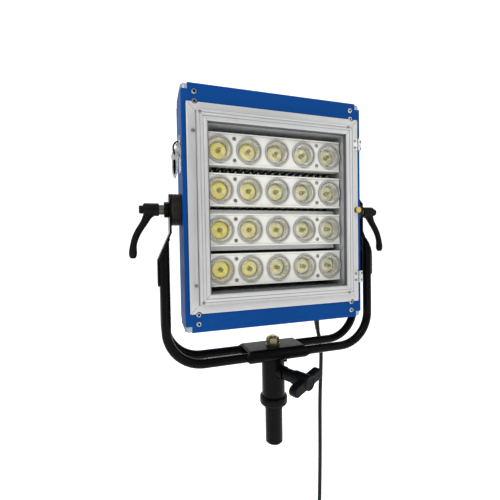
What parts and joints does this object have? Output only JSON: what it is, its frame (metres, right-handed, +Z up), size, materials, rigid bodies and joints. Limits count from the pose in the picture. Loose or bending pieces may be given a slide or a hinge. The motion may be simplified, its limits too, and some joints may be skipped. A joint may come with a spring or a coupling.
{
  "type": "led panel light head",
  "caption": "Flat panel light head with round lenses in strips and a hinged front frame, held in a twin-tube yoke with clamp levers on a combination spigot.",
  "frame": {"origin": "root of the stand pin, on its axis, where it meets the ring above", "axes": "+Z up along the spigot, the light shines towards -Y, +X to the right seen from the front"},
  "size_m": [0.4424, 0.1518, 0.9245],
  "materials": {
    "case_blue": "satin powder coat",
    "corner_silver": "satin cast",
    "frame_silver": "satin anodised extrusion",
    "zinc_screw": "zinc plated",
    "zinc_bright": "bright zinc",
    "hinge_steel": "satin",
    "liner_mirror": "bright rolled",
    "strip_white": "semi-gloss white",
    "heat_alu": "mill finish",
    "sink_dark": "black anodised",
    "seal_rubber": "matt moulded",
    "board": "white solder mask",
    "driver": "green solder mask",
    "phosphor": "phosphor yellow",
    "ring_grey": "moulded",
    "lens_clear": "clear optical",
    "black_box": "black powder coat",
    "black_plastic": "moulded",
    "knob_plastic": "moulded, white pointer line",
    "latch_steel": "plated",
    "black_oxide": "black oxide",
    "brass": "turned and knurled",
    "olive_barrel": "dull passivated",
    "disc_dark": "dark, ridged",
    "stud_steel": "turned",
    "black_satin": "satin black powder coat",
    "handle_black": "glass filled nylon",
    "insert_metal": "turned",
    "nut_zinc": "yellow zinc",
    "cord_black": "matt sheath"
  },
  "bodies": {
    "yoke": {"yoke_tube_front": "black_satin", "yoke_tube_rear": "black_satin", "clamp_plate_top": "black_satin", "clamp_plate_bottom": "black_satin", "clamp_spacer": "stud_steel", "arm_plates": "black_satin", "centre_bolt": "nut_zinc", "centre_nut": "nut_zinc", "spigot": "black_satin", "lock_screw": "black_oxide", "friction_pads": "disc_dark", "collars": "black_satin", "cord_tube": "cord_black", "cord_coil": "cord_black", "mains_plug": "black_plastic"},
    "head": {"casing_wrap": "case_blue", "front_bezel": "case_blue", "back_panel": "case_blue", "corner_caps": "corner_silver", "casing_screws": "zinc_bright", "rear_box": "black_box", "cable_gland": "black_plastic", "inner_liner": "liner_mirror", "heat_sink": "sink_dark", "cooling_combs": "heat_alu", "strip_covers": "strip_white", "led_bars": "heat_alu", "led_boards": "board", "led_emitters": "phosphor", "lens_rings": "ring_grey", "lenses": "lens_clear", "strip_screws": "zinc_screw", "driver_board": "driver", "hinge_leaves_casing": "hinge_steel", "hinge_pins": "zinc_screw", "hinge_screws_casing": "black_oxide", "latch_base": "latch_steel", "latch_keeper": "latch_steel", "pivot_blocks": "disc_dark", "pivot_studs": "stud_steel"},
    "dimmer": {"dimmer_knob": "knob_plastic"},
    "switch": {"rocker_switch": "black_plastic"},
    "latch_lever": {"latch_lever": "latch_steel"},
    "latch_bail": {"latch_bail": "black_oxide"},
    "door": {"frame_top": "frame_silver", "frame_bottom": "frame_silver", "frame_left": "frame_silver", "frame_right": "frame_silver", "corner_keys": "frame_silver", "frame_screws": "zinc_screw", "frame_seal": "seal_rubber", "hinge_leaves_door": "hinge_steel", "plunger_barrel": "olive_barrel"},
    "plunger": {"plunger_knob": "brass"},
    "wing_screw": {"wing_screw": "stud_steel"},
    "wing_knob": {"wing_knob": "handle_black"},
    "lever_left": {"lever_handle_left": "handle_black", "lever_insert_left": "insert_metal"},
    "lever_right": {"lever_handle_right": "handle_black", "lever_insert_right": "insert_metal"}
  },
  "joints": [
    {"name": "head_tilt", "type": "hinge", "parent": "yoke", "child": "head", "pos_m": [0, 0, 0.326], "axis": [-1, 0, 0], "range_deg": [-90, 90], "deforming": ["cord_tube"]},
    {"name": "lever_left_turn", "type": "hinge", "parent": "yoke", "child": "lever_left", "pos_m": [-0.19, 0, 0.326], "axis": [1, 0, 0], "range_deg": [-75, 75]},
    {"name": "lever_right_turn", "type": "hinge", "parent": "yoke", "child": "lever_right", "pos_m": [0.19, 0, 0.326], "axis": [1, 0, 0], "range_deg": [-75, 75]},
    {"name": "door_hinge", "type": "hinge", "parent": "head", "child": "door", "pos_m": [0.1406, -0.0428, 0.324], "axis": [0, 0, 1], "range_deg": [0, 90]},
    {"name": "plunger_pull", "type": "slide", "parent": "door", "child": "plunger", "axis": [0, -1, 0], "range_m": [0, 0.005], "stiffness_N_per_m": 400, "springref_m": -0.003},
    {"name": "latch_lever_swing", "type": "hinge", "parent": "head", "child": "latch_lever", "pos_m": [-0.1495, -0.015, 0.412], "axis": [0, 1, 0], "range_deg": [0, 60]},
    {"name": "latch_bail_swing", "type": "hinge", "parent": "latch_lever", "child": "latch_bail", "pos_m": [-0.155, -0.015, 0.405], "axis": [0, 1, 0], "range_deg": [-60, 0]},
    {"name": "dimmer_turn", "type": "hinge", "parent": "head", "child": "dimmer", "pos_m": [-0.06, 0.037, 0.229], "axis": [0, 1, 0], "range_deg": [0, 270]},
    {"name": "switch_rock", "type": "hinge", "parent": "head", "child": "switch", "pos_m": [0.01, 0.0365, 0.229], "axis": [1, 0, 0], "range_deg": [-6, 6]},
    {"name": "wing_turn", "type": "hinge", "parent": "wing_screw", "child": "wing_knob", "pos_m": [0.03022, -0.0648, 0.0625], "axis": [0.4226, -0.9063, 0], "range_deg": [-360, 360]},
    {"name": "wing_advance", "type": "slide", "parent": "yoke", "child": "wing_screw", "axis": [0.4226, -0.9063, 0], "range_m": [-0.00175, 0.00175]}
  ],
  "couplings": [
    {"joint": "latch_bail_swing", "follows": "latch_lever_swing", "ratio": -1},
    {"joint": "wing_turn", "follows": "wing_advance", "rad_per_m": 3590.4}
  ]
}
